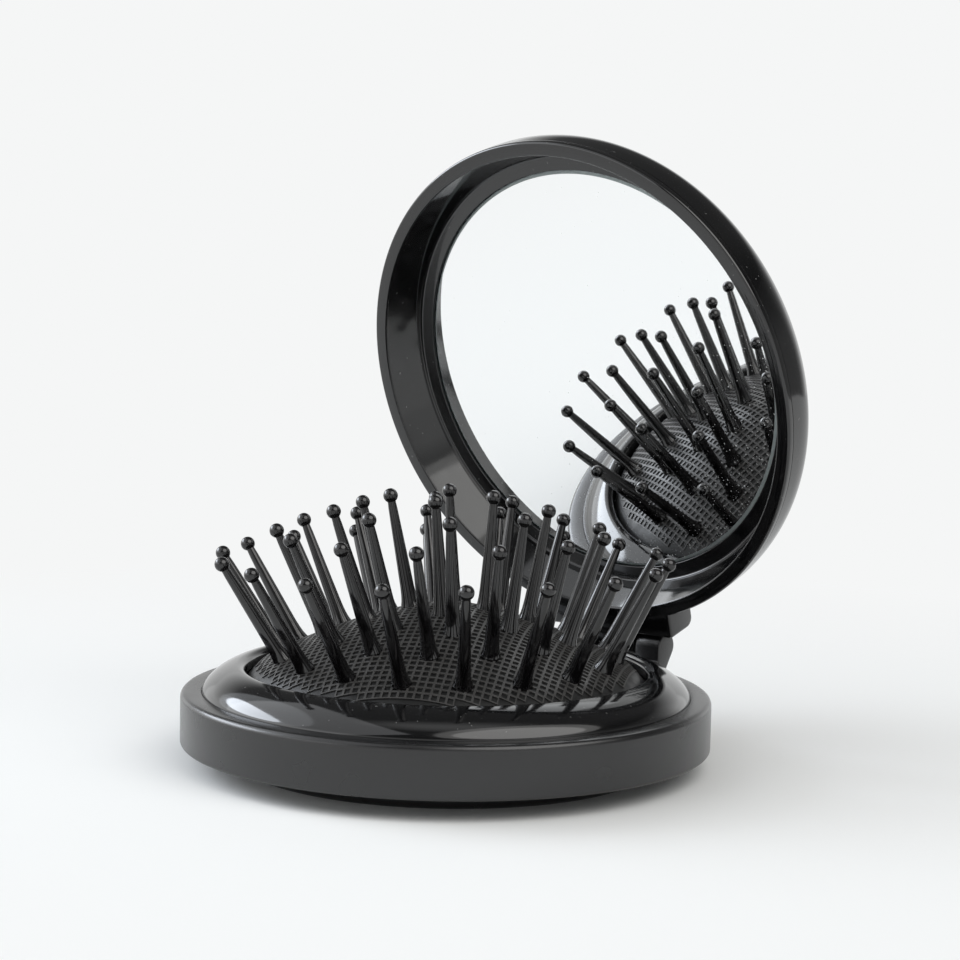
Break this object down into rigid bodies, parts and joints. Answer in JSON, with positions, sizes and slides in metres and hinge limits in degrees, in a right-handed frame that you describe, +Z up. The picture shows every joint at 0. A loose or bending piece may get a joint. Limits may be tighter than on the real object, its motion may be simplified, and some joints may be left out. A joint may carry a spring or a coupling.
{
  "type": "folding hairbrush with mirror",
  "caption": "Round pocket hairbrush with pop-up pins in a rubber pad and a hinged lid that holds a round mirror.",
  "frame": {"origin": "centre of the flat underside of the foot plate, on the table", "axes": "+Z up, +Y towards the hinge, X along the hinge axis"},
  "size_m": [0.065, 0.0732, 0.0773],
  "materials": {
    "gloss_black": "polished black injection-moulded plastic",
    "satin_black": "satin black moulded plastic",
    "pin_black": "smooth black nylon",
    "pad_rubber": "black rubber with a raised square net",
    "steel": "drawn steel wire",
    "mirror": "silvered glass with a bevelled edge",
    "adhesive": "white double-sided foam tape"
  },
  "bodies": {
    "capsule": {"capsule_cup": "gloss_black", "foot_plate": "satin_black", "dome_ring": "gloss_black", "rubber_pad": "pad_rubber"},
    "ring": {"outer_ring": "satin_black"},
    "hinge_pin": {"hinge_pin": "steel"},
    "lid": {"lid_liner": "gloss_black", "lid_shell": "gloss_black", "mirror_glass": "mirror", "mirror_adhesive": "adhesive"},
    "pins_a": {"pin_a01": "pin_black", "pin_a02": "pin_black", "pin_a03": "pin_black", "pin_a04": "pin_black", "pin_a05": "pin_black", "pin_a06": "pin_black", "pin_a07": "pin_black", "pin_a08": "pin_black", "pin_a09": "pin_black", "pin_a10": "pin_black", "pin_a11": "pin_black", "pin_a12": "pin_black", "pin_a13": "pin_black", "pin_a14": "pin_black", "pin_a15": "pin_black", "pin_a16": "pin_black", "pin_a17": "pin_black", "pin_a18": "pin_black"},
    "pins_b": {"pin_b01": "pin_black", "pin_b02": "pin_black", "pin_b03": "pin_black", "pin_b04": "pin_black", "pin_b05": "pin_black", "pin_b06": "pin_black", "pin_b07": "pin_black", "pin_b08": "pin_black", "pin_b09": "pin_black", "pin_b10": "pin_black", "pin_b11": "pin_black", "pin_b12": "pin_black", "pin_b13": "pin_black"},
    "pins_c": {"pin_c01": "pin_black", "pin_c02": "pin_black", "pin_c03": "pin_black", "pin_c04": "pin_black", "pin_c05": "pin_black", "pin_c06": "pin_black", "pin_c07": "pin_black", "pin_c08": "pin_black"},
    "pins_d": {"pin_d01": "pin_black", "pin_d02": "pin_black", "pin_d03": "pin_black", "pin_d04": "pin_black"}
  },
  "joints": [
    {"name": "ring_slide", "type": "slide", "parent": "capsule", "child": "ring", "axis": [0, 0, 1], "range_m": [0, 0.0045]},
    {"name": "lid_hinge", "type": "hinge", "parent": "ring", "child": "hinge_pin", "pos_m": [0, 0.03624, 0.01076], "axis": [-1, 0, 0], "range_deg": [-73.7, 0]},
    {"name": "lid_recline", "type": "hinge", "parent": "hinge_pin", "child": "lid", "pos_m": [0, 0.03624, 0.01076], "axis": [-1, 0, 0], "range_deg": [0, 36]},
    {"name": "pin_drop_a", "type": "slide", "parent": "capsule", "child": "pins_a", "axis": [0, 0, -1], "range_m": [0, 0.0068]},
    {"name": "pin_drop_b", "type": "slide", "parent": "pins_a", "child": "pins_b", "axis": [0, 0, -1], "range_m": [0, 0.0034]},
    {"name": "pin_drop_c", "type": "slide", "parent": "pins_b", "child": "pins_c", "axis": [0, 0, -1], "range_m": [0, 0.00255]},
    {"name": "pin_drop_d", "type": "slide", "parent": "pins_c", "child": "pins_d", "axis": [0, 0, -1], "range_m": [0, 0.00175], "deforming": ["rubber_pad"]}
  ],
  "couplings": [
    {"joint": "ring_slide", "follows": "lid_hinge", "m_per_rad": -0.0034983},
    {"joint": "pin_drop_a", "follows": "lid_hinge", "m_per_rad": -0.0052864},
    {"joint": "pin_drop_b", "follows": "lid_hinge", "m_per_rad": -0.0026432},
    {"joint": "pin_drop_c", "follows": "lid_hinge", "m_per_rad": -0.0019824},
    {"joint": "pin_drop_d", "follows": "lid_hinge", "m_per_rad": -0.0013604}
  ]
}
